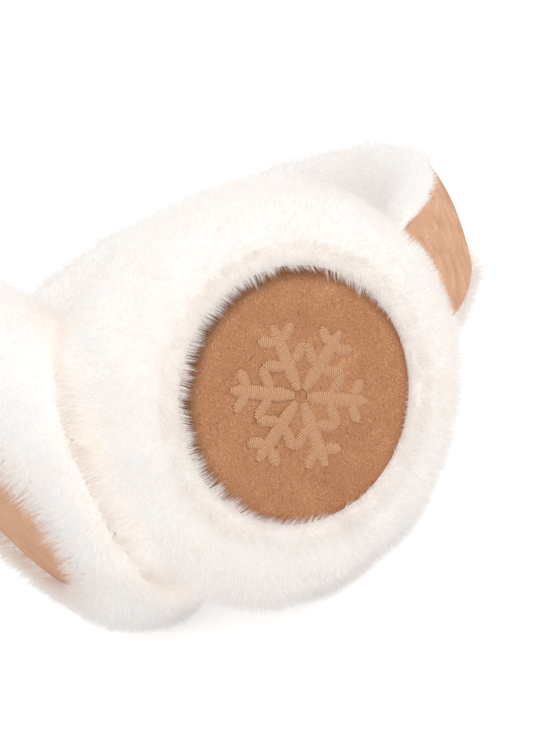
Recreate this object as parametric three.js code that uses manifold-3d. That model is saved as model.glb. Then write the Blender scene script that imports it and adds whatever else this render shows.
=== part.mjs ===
// Fur earmuffs: two round shearling cups with suede discs, on a suede headband lined with shearling.
// They lie on their side, as they do when they are put down. Both cups and the crown of the band
// touch the surface, and the plane of the band slopes down to its crown.
// Own frame, before they are laid down: +X to the right cup, +Y to the crown, +Z across the band.
import * as THREE from "three";
import { mergeVertices } from "three/addons/utils/BufferGeometryUtils.js";
import Module from "manifold-3d";

// Cups, in millimetres
const CUP_RADIUS = 58.3; // outside of the fur
const RIM_RADIUS = 21.1; // of the round fur rim, so a cup is twice this thick
const CUP_OFFSET = 33; // from the middle plane to the centre of each cup
const RIM_PRESS = 4; // how far the surface presses the fur of a rim in
const PAD_DISH = 5; // how far the ear side is hollowed
const PAD_SMOOTH_RADIUS = 20; // the middle of the ear side, where the fur lies flat
const CUP_COLUMNS = 42; // locks round a cup
const RIM_ROWS = 10; // rows of locks from the disc's edge to the ear side
const EAR_ROWS = 2; // rows of locks past them, on the ear side

// Discs
const DISC_RADIUS = 34;
const DISC_WALL = 2;
const DISC_CROWN = 2; // how far the middle stands proud of the edge
const DISC_LEVEL = 17.2; // the face at the disc's edge, above the cup's middle plane
const DISC_SIDES = 42;

// Headband
const BAND_HALF_SPAN = 70.6; // middle plane to the suede, where the band is widest
const BAND_CENTRE = 73.6; // along +Y, where the band is widest
const CROWN_REACH = 154; // along +Y, the outside of the crown
const BAND_WIDTH = 29.8; // of the suede strip
const SUEDE_WALL = 1.8;
const SUEDE_CROWN = 1.2; // how far the strip's middle stands proud of its edges
const LINING_DEPTH = 14; // of the fur inside the band
const EDGE_BULGE = 7.5; // how far that fur stands past each edge of the strip
const LIP = 1.2; // how far it stands proud of the strip's edge
const BAND_STATIONS = 42; // locks along the band
const TUCK = 3; // how far each end runs past the middle of the cup's rim
const CROWN_PRESS = 3; // how far the surface presses the crown's fur in

// Fur
const LOCK_DEPTH = 3.4; // from the foot of a lock to its tip
const LOCK_LEAN = 1.5; // how far a tip may lean to any side
const FRINGE_REACH = 3; // how far the innermost locks lean over the disc
const CLEARANCE = 0.35; // between pieces that touch

// Angles in degrees, and shares
const RIGHT_TOE = 45; // how far the face of a cup turns away from the crown
const LEFT_TOE = 43;
const LEFT_TWIST = -16.6; // the left cup's turn about +Y, which tucks its foot under the right cup
const BAND_TWIST = 9; // the turn of the band's left end, towards that of its cup
const TWIST_START = 0.7; // where along the band it begins
const BAND_SQUARENESS = 2.24; // 2 is an ellipse
const LINING_SQUARENESS = 2.6;
const SHOULDER = 0.25; // depth at which the lining is widest, as a share of its whole depth
const THIN_PILE_SHARE = 0.45; // how much of a thin pile its locks may be
const LOCK_SHORTFALL = 0.22; // how far a tip may fall short, as a share of its height
const ONWARD_LEAN = 0.6; // how far a tip may lean along the rows, as a share of LOCK_LEAN

// A rim isn't a true circle. Each row is an angle from the band's side towards +Z,
// and what the rim gains there, as a share of RIM_RADIUS.
const CUP_LOBES = [
  { angle: 0, gain: 0.09 },
  { angle: 30, gain: -0.04 },
  { angle: 60, gain: -0.05 },
  { angle: 90, gain: -0.06 },
  { angle: 120, gain: 0.08 },
  { angle: 150, gain: 0.04 },
  { angle: 180, gain: -0.1 },
  { angle: 210, gain: -0.03 },
  { angle: 240, gain: 0.075 },
  { angle: 270, gain: 0.02 },
  { angle: 300, gain: -0.02 },
  { angle: 330, gain: 0.01 },
  { angle: 360, gain: 0.09 },
];

// How full the lining is along the band, from the right end to the left end:
// its depth as a share of LINING_DEPTH, its upper and lower edges as shares of EDGE_BULGE, and
// the lip beside the strip, from 0 where there is none to 1 for all of LIP.
const LINING_FILL = [
  { along: 0, depth: 0.3, upper: 0.12, lower: 0.12, lip: 0 },
  { along: 0.07, depth: 0.45, upper: 0.3, lower: 0.6, lip: 0.5 },
  { along: 0.15, depth: 0.95, upper: 0.85, lower: 1.1, lip: 1 },
  { along: 0.3, depth: 1.05, upper: 1, lower: 1.05, lip: 1 },
  { along: 0.5, depth: 1, upper: 1, lower: 1, lip: 1 },
  { along: 0.7, depth: 1.05, upper: 0.85, lower: 1, lip: 1 },
  { along: 0.86, depth: 0.95, upper: 0.4, lower: 0.9, lip: 0.8 },
  { along: 0.93, depth: 0.45, upper: 0.2, lower: 0.5, lip: 0.5 },
  { along: 1, depth: 0.3, upper: 0.12, lower: 0.12, lip: 0 },
];

// Where along the band the lining's panels meet, and what they are called
const LINING_JOINS = [0.29, 0.71];
const LINING_PANELS = ["right", "crown", "left"];

// Where the strip's section has its points, from the upper edge to the lower one,
// as shares of its half width
const STRIP_ACROSS = [1, 0.5, 0, -0.5, -1];
// Where the lining's section has its points between its widest place and its middle, in degrees
const LINING_TURNS = [25, 50, 72];
// The turn halfway from the lip of the lining to its widest place, in degrees
const EDGE_TURN = 50;
// Rings of a disc inside its edge, and of its seat, as shares of their radius
const DISC_RINGS = [0.5, 0.8];
const SEAT_RINGS = [0.45, 0.8, 1];

const wasm = await Module();
wasm.setup();

const paint = (color, roughness) => new THREE.MeshStandardMaterial({ color, roughness, metalness: 0 });
const discSuede = paint("#ba8667", 0.95);
const bandSuede = paint("#d2a588", 0.95);
const shearling = paint("#f7f2ea", 1);

const CORE_RADIUS = CUP_RADIUS - RIM_RADIUS;
const SEAT_RADIUS = DISC_RADIUS + CLEARANCE;
const BAND_RISE = CROWN_REACH - BAND_CENTRE;
const STRIP_EDGE = BAND_WIDTH / 2;
const SEAT_EDGE = STRIP_EDGE + CLEARANCE;
const radians = THREE.MathUtils.degToRad;
const across = new THREE.Vector3(0, 0, 1);

// A number from 0 to 1 that depends only on a lock's row, column and purpose.
function chance(row, column, purpose) {
  const wave = Math.sin(row * 12.9898 + column * 78.233 + purpose * 37.719) * 43758.5453;
  return wave - Math.floor(wave);
}

const eased = (share) => THREE.MathUtils.smoothstep(share, 0, 1);

// The columns of a table at a place along its key, eased from one row to the next.
function lookUp(table, key, place) {
  const found = table.findIndex((row, index) => index > 0 && row[key] >= place);
  const next = found < 0 ? table.length - 1 : found;
  const [low, high] = [table[next - 1], table[next]];
  const share = eased((place - low[key]) / (high[key] - low[key]));
  const columns = Object.keys(low).map((name) => [name, THREE.MathUtils.lerp(low[name], high[name], share)]);
  return Object.fromEntries(columns);
}

const lobe = (angle) => lookUp(CUP_LOBES, "angle", angle % 360).gain;

// A closed skin over rings of points, one ring after the other, with a fan at each end.
// A cell between two rings is flat, or rises to the tip that tipOf gives for it.
function skin(rings, firstMiddle, lastMiddle, tipOf = () => null) {
  const places = [];
  const add = (...corners) => places.push(...corners.flatMap((corner) => corner.toArray()));
  const count = rings[0].length;
  for (let column = 0; column < count; column += 1) {
    const next = (column + 1) % count;
    add(firstMiddle, rings[0][next], rings[0][column]);
    add(lastMiddle, rings.at(-1)[column], rings.at(-1)[next]);
    for (let row = 0; row < rings.length - 1; row += 1) {
      const [a, b, c, d] = cellOf(rings, row, column);
      const tip = tipOf(row, column);
      if (tip) {
        add(a, b, tip, b, c, tip, c, d, tip, d, a, tip);
      } else {
        add(a, b, c, a, c, d);
      }
    }
  }
  return new THREE.BufferGeometry().setAttribute("position", new THREE.Float32BufferAttribute(places, 3));
}

function cellOf(rings, row, column) {
  const next = (column + 1) % rings[row].length;
  return [rings[row][column], rings[row][next], rings[row + 1][next], rings[row + 1][column]];
}

function middleOf(points) {
  const sum = points.reduce((total, point) => total.add(point), new THREE.Vector3());
  return sum.divideScalar(points.length);
}

// The tip of the lock over one cell. It stands from the cell of the feet to that of the outline,
// falls a little short by chance, and leans. reach leans it further, back along the rows.
function lockTip(outline, feet, row, column, reach) {
  const cell = cellOf(outline, row, column);
  const [a, b, c, d] = cell;
  const top = middleOf(cell);
  const rise = top.clone().sub(middleOf(cellOf(feet, row, column)));
  const fullness = rise.length() / LOCK_DEPTH;
  const sideways = b.clone().sub(a).add(c).sub(d).normalize();
  const onward = d.clone().sub(a).add(c).sub(b).normalize();
  const leanSideways = LOCK_LEAN * (2 * chance(row, column, 1) - 1);
  const leanOnward = LOCK_LEAN * ONWARD_LEAN * (2 * chance(row, column, 2) - 1) - reach;
  return top
    .addScaledVector(rise, -LOCK_SHORTFALL * chance(row, column, 3))
    .addScaledVector(sideways, leanSideways * fullness)
    .addScaledVector(onward, leanOnward * fullness);
}

function solidOf(geometry) {
  const flat = geometry.index ? geometry.toNonIndexed() : geometry;
  const bare = new THREE.BufferGeometry().setAttribute("position", flat.getAttribute("position"));
  const merged = mergeVertices(bare, 1e-4);
  const vertProperties = merged.attributes.position.array;
  const triVerts = new Uint32Array(merged.index.array);
  return new wasm.Manifold(new wasm.Mesh({ numProp: 3, vertProperties, triVerts }));
}

function geometryOf(solid) {
  const { vertProperties, triVerts } = solid.getMesh();
  const geometry = new THREE.BufferGeometry();
  geometry.setAttribute("position", new THREE.BufferAttribute(vertProperties, 3));
  geometry.setIndex(new THREE.BufferAttribute(triVerts, 1));
  return geometry;
}

// Cuts a placed mesh by tools, each a geometry and the object in whose frame it is drawn.
// Shavings that a cut leaves loose are dropped, so one body stays.
function cut(mesh, tools) {
  const toMesh = mesh.matrixWorld.clone().invert();
  let solid = solidOf(mesh.geometry);
  for (const { geometry, holder } of tools) {
    const placing = toMesh.clone().multiply(holder.matrixWorld);
    solid = solid.subtract(solidOf(geometry).transform(placing.elements));
  }
  const bodies = solid.decompose().sort((first, second) => second.volume() - first.volume());
  mesh.geometry = geometryOf(bodies[0]);
}

// A placed mesh parted by thin slabs into bodies, the largest ones, from the right to the left.
// Each slab is a matrix that stands a square wall there, across its own Y.
function parted(mesh, slabs, size, material) {
  const wall = solidOf(new THREE.BoxGeometry(size, CLEARANCE, size));
  const solid = slabs.reduce(
    (rest, slab) => rest.subtract(wall.transform(slab.elements)),
    solidOf(mesh.geometry),
  );
  const bodies = solid.decompose().sort((first, second) => second.volume() - first.volume());
  const rightwards = (body) => body.boundingBox().min[0] + body.boundingBox().max[0];
  return bodies
    .slice(0, slabs.length + 1)
    .sort((first, second) => rightwards(second) - rightwards(first))
    .map((body, index) => named(`${mesh.name}_${LINING_PANELS[index]}`, geometryOf(body), material));
}

// The mirror image of a geometry in its own YZ plane.
function mirrored(geometry) {
  const image = geometry.clone().scale(-1, 1, 1);
  const place = image.getAttribute("position");
  const [second, third] = [new THREE.Vector3(), new THREE.Vector3()];
  for (let corner = 0; corner < place.count; corner += 3) {
    second.fromBufferAttribute(place, corner + 1);
    third.fromBufferAttribute(place, corner + 2);
    place.setXYZ(corner + 1, ...third.toArray());
    place.setXYZ(corner + 2, ...second.toArray());
  }
  return image;
}

// The disc's face above the cup's middle plane, at a radius.
const discFace = (radius) => DISC_LEVEL + DISC_CROWN * (1 - (radius / DISC_RADIUS) ** 2);

const seatFloor = (radius) => discFace(radius) - DISC_WALL - CLEARANCE;

// The ear side at a radius, for a rim of a given size.
const padFace = (radius, rim) => PAD_DISH * eased(1 - radius / CORE_RADIUS) - rim;

// A cup's rings, inset from its outline, in its own frame: +Z out of its face and +Y to the band.
// They run over the disc's seat, round the rim and over the ear side.
function cupRings(inset) {
  const rim = RIM_RADIUS - inset;
  const firstTurn = Math.asin((SEAT_RADIUS - CORE_RADIUS) / rim);
  const seat = SEAT_RINGS.map((share) => () => [SEAT_RADIUS * share, seatFloor(SEAT_RADIUS * share)]);
  const round = Array.from({ length: RIM_ROWS + 1 }, (_, row) => (angle) => {
    const turn = THREE.MathUtils.lerp(firstTurn, Math.PI, row / RIM_ROWS);
    const gain = RIM_RADIUS * lobe(angle) * Math.max(0, Math.sin(turn)) ** 2;
    return [CORE_RADIUS + (rim + gain) * Math.sin(turn), rim * Math.cos(turn)];
  });
  const padRadii = [(CORE_RADIUS + PAD_SMOOTH_RADIUS) / 2, PAD_SMOOTH_RADIUS, PAD_SMOOTH_RADIUS / 2];
  const pad = padRadii.map((radius) => () => [radius, padFace(radius, rim)]);
  return [...seat, ...round, ...pad].map((placeAt, row) =>
    Array.from({ length: CUP_COLUMNS }, (_, column) => {
      const angle = (360 * (column + row / 2)) / CUP_COLUMNS;
      const [radius, height] = placeAt(angle);
      return new THREE.Vector3(radius * Math.sin(radians(angle)), radius * Math.cos(radians(angle)), height);
    }),
  );
}

// The fur of the left cup. The right cup's is its mirror image.
function cupFur() {
  const outline = cupRings(0);
  const feet = cupRings(LOCK_DEPTH);
  const firstRow = SEAT_RINGS.length;
  const lastRow = firstRow + RIM_ROWS + EAR_ROWS;
  const tipOf = (row, column) => {
    if (row < firstRow || row >= lastRow) return null;
    return lockTip(outline, feet, row, column, row === firstRow ? FRINGE_REACH : 0);
  };
  return skin(feet, ...cupMiddles(LOCK_DEPTH), tipOf);
}

const cupMiddles = (inset) => [
  new THREE.Vector3(0, 0, seatFloor(0)),
  new THREE.Vector3(0, 0, padFace(0, RIM_RADIUS - inset)),
];

// The room that a cup and its clearance take up, to press another piece by.
const cupRoom = () => skin(cupRings(-CLEARANCE), ...cupMiddles(-CLEARANCE));

// A suede disc, its edge drawn in to half its wall.
function disc() {
  const ring = (share, height) =>
    Array.from({ length: DISC_SIDES }, (_, side) => {
      const turn = (2 * Math.PI * side) / DISC_SIDES;
      return new THREE.Vector3(Math.sin(turn), Math.cos(turn), 0)
        .multiplyScalar(DISC_RADIUS * share)
        .setZ(height);
    });
  const edge = 1 - DISC_WALL / 2 / DISC_RADIUS;
  const face = (share) => ring(share, discFace(DISC_RADIUS * share));
  const back = (share) => ring(share, discFace(DISC_RADIUS * share) - DISC_WALL);
  const rim = ring(1, discFace(DISC_RADIUS) - DISC_WALL / 2);
  const shares = [...DISC_RINGS, edge];
  const rings = [...shares.map(face), rim, ...shares.reverse().map(back)];
  const top = new THREE.Vector3(0, 0, discFace(0));
  const bottom = new THREE.Vector3(0, 0, discFace(0) - DISC_WALL);
  return skin(rings, top, bottom);
}

// The outside of the suede strip, from its right end round the crown to its left end.
class BandLine extends THREE.Curve {
  // Each end lies TUCK past the middle of its cup's rim.
  endTurn(toe) {
    const level = (CORE_RADIUS - TUCK) * Math.cos(radians(toe));
    const down = (BAND_CENTRE - level) / BAND_RISE;
    const out = (1 - down ** BAND_SQUARENESS) ** (1 / BAND_SQUARENESS);
    return Math.atan2(-down, out);
  }

  getPoint(share, target = new THREE.Vector3()) {
    const turn = THREE.MathUtils.lerp(this.endTurn(RIGHT_TOE), Math.PI - this.endTurn(LEFT_TOE), share);
    const [out, up] = [Math.cos(turn), Math.sin(turn)];
    const sum = Math.abs(out) ** BAND_SQUARENESS + Math.abs(up) ** BAND_SQUARENESS;
    const size = sum ** (-1 / BAND_SQUARENESS);
    return target.set(BAND_HALF_SPAN * out * size, BAND_CENTRE + BAND_RISE * up * size, 0);
  }
}

const bandLine = new BandLine();

// Rings along the band. sectionAt gives a section's points there, as [across the band, out of it].
function bandRings(sectionAt) {
  return Array.from({ length: BAND_STATIONS + 1 }, (_, station) => {
    const share = station / BAND_STATIONS;
    const ahead = bandLine.getTangentAt(share);
    const twist = radians(BAND_TWIST) * eased((share - TWIST_START) / (1 - TWIST_START));
    const wide = across.clone().applyAxisAngle(ahead, twist);
    const out = ahead.clone().cross(wide);
    const place = bandLine.getPointAt(share);
    return sectionAt(share).map(([wideBy, outBy]) =>
      place.clone().addScaledVector(wide, wideBy).addScaledVector(out, outBy),
    );
  });
}

const bandSkin = (rings, tipOf) => skin(rings, middleOf(rings[0]), middleOf(rings.at(-1)), tipOf);

const stripFace = (share) => SUEDE_CROWN * (1 - share ** 2);

function bandStrip() {
  const outside = STRIP_ACROSS.map((share) => [STRIP_EDGE * share, stripFace(share)]);
  const inside = STRIP_ACROSS.map((share) => [STRIP_EDGE * share, stripFace(share) - SUEDE_WALL]).reverse();
  return bandSkin(bandRings(() => [...outside, ...inside]));
}

// One edge of the lining, from the strip's edge to the middle of the lining's inner side.
function liningEdge(bulge, lipShare, grown, depth) {
  const shoulder = -(SUEDE_WALL + SHOULDER * depth);
  const noLip = (shoulder - SUEDE_WALL - CLEARANCE) / 2;
  const lip = THREE.MathUtils.lerp(noLip, LIP, lipShare) + grown;
  const widest = SEAT_EDGE + bulge;
  const turn = radians(EDGE_TURN);
  const points = [
    [SEAT_EDGE, lip],
    [SEAT_EDGE + bulge * Math.sin(turn), THREE.MathUtils.lerp(shoulder, lip, Math.cos(turn))],
    [widest, shoulder],
  ];
  for (const degrees of LINING_TURNS) {
    const wide = Math.cos(radians(degrees)) ** (2 / LINING_SQUARENESS);
    const deep = Math.sin(radians(degrees)) ** (2 / LINING_SQUARENESS);
    points.push([widest * wide, THREE.MathUtils.lerp(shoulder, -(SUEDE_WALL + depth), deep)]);
  }
  return points;
}

// A section of the lining: the strip's seat from its upper to its lower edge, then the fur round to
// the upper edge again. lockShare is 0 on the outline and 1 at the feet of the locks. grown
// makes the outline larger, and then its flat side lies over the strip and isn't a seat.
function liningSection(place, lockShare, grown = 0) {
  const fill = lookUp(LINING_FILL, "along", place);
  const pile = (full) => full - lockShare * Math.min(LOCK_DEPTH, THIN_PILE_SHARE * full) + grown;
  const depth = pile(LINING_DEPTH * fill.depth);
  const seatAt = (share) => stripFace(share) + (grown > 0 ? grown : -SUEDE_WALL - CLEARANCE);
  const seat = STRIP_ACROSS.map((share) => [SEAT_EDGE * share, seatAt(share)]);
  const lower = liningEdge(pile(EDGE_BULGE * fill.lower), fill.lip, grown, depth);
  const upper = liningEdge(pile(EDGE_BULGE * fill.upper), fill.lip, grown, depth);
  const middle = [0, -(SUEDE_WALL + depth)];
  return [...seat, ...lower.map(([wide, out]) => [-wide, out]), middle, ...upper.reverse()];
}

function bandLining() {
  const outline = bandRings((share) => liningSection(share, 0));
  const feet = bandRings((share) => liningSection(share, 1));
  const firstFur = STRIP_ACROSS.length;
  const lastFur = outline[0].length - 1;
  const tipOf = (row, column) => {
    if (column < firstFur || column >= lastFur) return null;
    return lockTip(outline, feet, row, column, 0);
  };
  return bandSkin(feet, tipOf);
}

// The room that the strip, its lining and their clearance take up, to open the cups by.
const bandRoom = () => bandSkin(bandRings((share) => liningSection(share, 0, CLEARANCE)));

// Stands a wall across the band, at a share of its way.
function wallAcross(share) {
  const ahead = bandLine.getTangentAt(share);
  const wall = new THREE.Matrix4().makeBasis(ahead.clone().cross(across), ahead, across);
  return wall.setPosition(bandLine.getPointAt(share));
}

// How they lie: the height of the cups' centres, and the slope at which the rims and the fur
// along the lower edge of the crown meet one level surface.
const restHeight = CUP_RADIUS - RIM_PRESS;
const crownFurReach = CROWN_REACH - SUEDE_WALL - SHOULDER * LINING_DEPTH;
const crownFurDrop = SEAT_EDGE + EDGE_BULGE;
const restSlope =
  Math.asin((restHeight + CROWN_PRESS) / Math.hypot(crownFurReach, crownFurDrop)) -
  Math.atan2(crownFurDrop, crownFurReach);

function named(name, geometry, material) {
  const mesh = new THREE.Mesh(geometry, material);
  mesh.name = name;
  return mesh;
}

// A cup in its place. side is 1 for the right cup and -1 for the left one.
function cup(name, side, toe, twist, fur) {
  const turn = radians(toe);
  const toBand = new THREE.Vector3(side * Math.sin(turn), Math.cos(turn), 0);
  const face = new THREE.Vector3(side * Math.cos(turn), -Math.sin(turn), 0);
  const basis = new THREE.Matrix4().makeBasis(toBand.clone().cross(face), toBand, face);
  const group = new THREE.Group();
  group.position.x = side * CUP_OFFSET;
  group.quaternion.setFromRotationMatrix(basis);
  group.rotateOnWorldAxis(new THREE.Vector3(0, 1, 0), radians(twist));
  group.add(named(`${name}_cup_fur`, fur, shearling));
  group.add(named(`${name}_suede_disc`, disc(), discSuede));
  return group;
}

const leftFur = cupFur();
const rightCup = cup("right", 1, RIGHT_TOE, 0, mirrored(leftFur));
const leftCup = cup("left", -1, LEFT_TOE, LEFT_TWIST, leftFur);
const strip = named("band_suede", bandStrip(), bandSuede);
const lining = named("band_fur", bandLining(), shearling);

const laid = new THREE.Group();
laid.rotation.x = -restSlope;
laid.position.z = restHeight;
laid.add(rightCup, leftCup, strip, lining);

const earmuffs = new THREE.Group();
earmuffs.add(laid);
earmuffs.updateMatrixWorld(true);

// The surface presses every piece of fur flat where it carries it, and the right cup and the
// ends of the band press into the fur that they meet.
const groundSize = 4 * (CROWN_REACH + CUP_RADIUS);
const ground = {
  geometry: new THREE.BoxGeometry(groundSize, groundSize, groundSize).translate(0, 0, -groundSize / 2),
  holder: earmuffs,
};
const band = { geometry: bandRoom(), holder: laid };
const rightRoom = { geometry: mirrored(cupRoom()), holder: rightCup };
const [rightFurMesh, leftFurMesh] = [rightCup.children[0], leftCup.children[0]];
cut(rightFurMesh, [band, ground]);
cut(leftFurMesh, [rightRoom, band, ground]);
cut(lining, [ground]);

// The lining's panels take its place.
const wallSize = 2 * (BAND_WIDTH + LINING_DEPTH);
laid.remove(lining);
laid.add(...parted(lining, LINING_JOINS.map(wallAcross), wallSize, shearling));

// The origin lies on the surface, under the middle of the whole.
const bounds = new THREE.Box3().setFromObject(earmuffs, true);
const centre = bounds.getCenter(new THREE.Vector3());
laid.position.x -= centre.x;
laid.position.y -= centre.y;

export default earmuffs;
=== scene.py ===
"""Fur earmuffs: shearling cups and lining, suede discs and headband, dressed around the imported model."""
import sys

import logging
import math
from dataclasses import dataclass, field
from enum import Enum
from typing import Any, Iterable

import bmesh
import bpy
import numpy as np
from mathutils import Matrix, Vector, kdtree, noise
from mathutils.bvhtree import BVHTree


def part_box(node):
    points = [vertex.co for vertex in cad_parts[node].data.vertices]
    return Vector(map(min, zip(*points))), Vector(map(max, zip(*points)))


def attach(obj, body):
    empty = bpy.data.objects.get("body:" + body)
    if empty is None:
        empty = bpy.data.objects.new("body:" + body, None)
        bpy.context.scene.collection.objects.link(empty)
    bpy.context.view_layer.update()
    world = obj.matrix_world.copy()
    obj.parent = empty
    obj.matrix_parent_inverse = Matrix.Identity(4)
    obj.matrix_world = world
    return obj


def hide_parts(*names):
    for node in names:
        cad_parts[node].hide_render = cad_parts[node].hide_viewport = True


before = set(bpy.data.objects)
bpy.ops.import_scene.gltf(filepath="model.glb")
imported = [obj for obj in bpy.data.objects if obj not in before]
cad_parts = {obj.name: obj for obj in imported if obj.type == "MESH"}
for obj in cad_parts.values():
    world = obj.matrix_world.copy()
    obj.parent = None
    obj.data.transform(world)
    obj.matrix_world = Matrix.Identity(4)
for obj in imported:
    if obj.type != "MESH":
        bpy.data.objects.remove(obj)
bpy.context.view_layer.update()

LOG = logging.getLogger("earmuffs")
MM = 0.001
BODY = "root"
NOISE_SEED = 5  # noise_vector draws its offsets from the clock until a seed is set


class Slot(Enum):
    """The record's material slots."""

    SHEARLING = "shearling"
    DISC_SUEDE = "disc_suede"
    BAND_SUEDE = "band_suede"


def linear(code: str) -> tuple[float, float, float, float]:
    """Turns a screen colour into the shader's linear one.

    Args:
        code: The colour as #rrggbb.

    Returns:
        Red, green, blue and an alpha of 1.
    """
    shares = [int(code[place : place + 2], 16) / 255 for place in (1, 3, 5)]
    red, green, blue = (s / 12.92 if s <= 0.04045 else ((s + 0.055) / 1.055) ** 2.4 for s in shares)
    return red, green, blue, 1.0


# Shader maths


class Value:
    """A number in a shader, which Python's operators work on."""

    def __init__(self, shader: "Shader", socket: bpy.types.NodeSocket) -> None:
        """Wraps an output socket of a shader's node."""
        self.shader = shader
        self.socket = socket

    def _math(self, operation: str, first: Any, second: Any) -> "Value":
        """Adds a Math node over two values."""
        return self.shader.node("ShaderNodeMath", {"operation": operation}, {0: first, 1: second})

    def __add__(self, other: Any) -> "Value":
        """Adds."""
        return self._math("ADD", self, other)

    def __radd__(self, other: Any) -> "Value":
        """Adds to a number."""
        return self._math("ADD", other, self)

    def __sub__(self, other: Any) -> "Value":
        """Subtracts."""
        return self._math("SUBTRACT", self, other)

    def __rsub__(self, other: Any) -> "Value":
        """Subtracts from a number."""
        return self._math("SUBTRACT", other, self)

    def __mul__(self, other: Any) -> "Value":
        """Multiplies."""
        return self._math("MULTIPLY", self, other)

    def __rmul__(self, other: Any) -> "Value":
        """Multiplies a number."""
        return self._math("MULTIPLY", other, self)


class Shader:
    """A material under construction, with one Principled surface."""

    def __init__(self, name: str) -> None:
        """Starts a material with a Principled surface."""
        self.material = bpy.data.materials.new(name)
        self.material.use_nodes = True
        self.tree = self.material.node_tree
        self.surface = self.tree.nodes["Principled BSDF"]

    def node(self, kind: str, settings: dict[str, Any], sockets: dict[Any, Any], output: Any = 0) -> Value:
        """Adds a node.

        Args:
            kind: The node's type.
            settings: Its settings; stops are a ramp's places and colours.
            sockets: What its inputs hold or are linked to, by name or number.
            output: The output that is wanted, by name or number.

        Returns:
            That output.
        """
        made = self.tree.nodes.new(kind)
        for name, setting in settings.items():
            if name == "stops":
                self._set_stops(made.color_ramp, setting)
            else:
                setattr(made, name, setting)
        self._fill(made, sockets)
        return Value(self, made.outputs[output])

    def _set_stops(self, ramp: bpy.types.ColorRamp, stops: Iterable[tuple[float, str]]) -> None:
        """Gives a ramp its stops, each a place and a colour."""
        for number, (place, colour) in enumerate(stops):
            stop = ramp.elements[number] if number < 2 else ramp.elements.new(place)
            stop.position = place
            stop.color = linear(colour)

    def _fill(self, made: bpy.types.Node, sockets: dict[Any, Any]) -> None:
        """Sets or links a node's inputs."""
        for key, content in sockets.items():
            if isinstance(content, Value):
                self.tree.links.new(content.socket, made.inputs[key])
            else:
                made.inputs[key].default_value = content

    def finish(self, sockets: dict[str, Any]) -> bpy.types.Material:
        """Sets or links the surface's inputs and returns the material."""
        self._fill(self.surface, sockets)
        return self.material

    def place(self) -> Value:
        """The place on the piece, in metres."""
        return self.node("ShaderNodeTexCoord", {}, {}, "Object")

    def attribute(self, name: str) -> Value:
        """A number that the mesh carries."""
        return self.node("ShaderNodeAttribute", {"attribute_name": name}, {}, "Fac")

    def cloud(self, place: Value, size: float, detail: float = 2.0) -> Value:
        """Smooth noise from 0 to 1.

        Args:
            place: Where it is read.
            size: Its patches, in metres.
            detail: How many finer layers lie on it.

        Returns:
            The noise.
        """
        return self.node("ShaderNodeTexNoise", {}, {"Vector": place, "Scale": 1 / size, "Detail": detail}, "Fac")

    def warped(self, place: Value, size: float, reach: float) -> Value:
        """Pushes places about, so that a pattern read there flows.

        Args:
            place: The places.
            size: The patches that move together, in metres.
            reach: How far they move, in metres.

        Returns:
            The moved places.
        """
        drift = self.node("ShaderNodeTexNoise", {}, {"Vector": place, "Scale": 1 / size, "Detail": 1.0}, "Color")
        centred = self.node("ShaderNodeVectorMath", {"operation": "SUBTRACT"}, {0: drift, 1: (0.5, 0.5, 0.5)})
        scaled = self.node("ShaderNodeVectorMath", {"operation": "SCALE"}, {0: centred, "Scale": reach})
        return self.node("ShaderNodeVectorMath", {"operation": "ADD"}, {0: place, 1: scaled})

    def ramp(self, place: Value, stops: Iterable[tuple[float, str]]) -> Value:
        """Colours along a number."""
        return self.node("ShaderNodeValToRGB", {"stops": list(stops)}, {0: place}, "Color")

    def mix(self, share: Any, first: Any, second: Any) -> Value:
        """Mixes two colours."""
        return self.node("ShaderNodeMix", {"data_type": "RGBA"}, {0: share, 6: first, 7: second}, 2)

    def bump(self, height: Value, distance: float, strength: float) -> Value:
        """A normal that follows a height in metres."""
        return self.node(
            "ShaderNodeBump", {}, {"Height": height, "Distance": distance, "Strength": strength}, "Normal"
        )


# Finishes


@dataclass(frozen=True)
class ShearlingFinish:
    """Clipped sheepskin pile: nearly white at its tips and warmer at its roots."""

    name: str
    tip: str = "#ffffff"
    cream_tip: str = "#fefaf5"
    root: str = "#fefbf8"
    sheen: float = 0.25
    glow: float = 0.25
    glow_reach: float = 1.5 * MM
    # Colour and strength of the painted glow that lightens the shade where fur meets other fur.
    painted_crease_glow: str = "#fff6ef"
    painted_crease_glow_strength: float = 0.085

    def build(self) -> bpy.types.Material:
        """Makes the material.

        Along runs from root to tip, tone from white to cream, and buried to where fur meets other fur, which a
        painted glow lightens.

        Returns:
            The material.
        """
        shader = Shader(self.name)
        tip = shader.mix(shader.attribute("tone"), linear(self.tip), linear(self.cream_tip))
        colour = shader.mix(shader.attribute("along"), linear(self.root), tip)
        return shader.finish(
            {
                "Base Color": colour,
                "Roughness": 0.9,
                "Specular IOR Level": 0.2,
                "Sheen Weight": self.sheen,
                "Sheen Roughness": 0.5,
                "Subsurface Weight": self.glow,
                "Subsurface Radius": (1.0, 0.8, 0.65),
                "Subsurface Scale": self.glow_reach,
                # Painted light: a faint glow where fur meets other fur, lightening the shade in the crease between
                # the pieces.
                "Emission Color": shader.mix(shader.attribute("buried"), linear("#000000"), linear(self.painted_crease_glow)),
                "Emission Strength": self.painted_crease_glow_strength,
            }
        )


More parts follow.
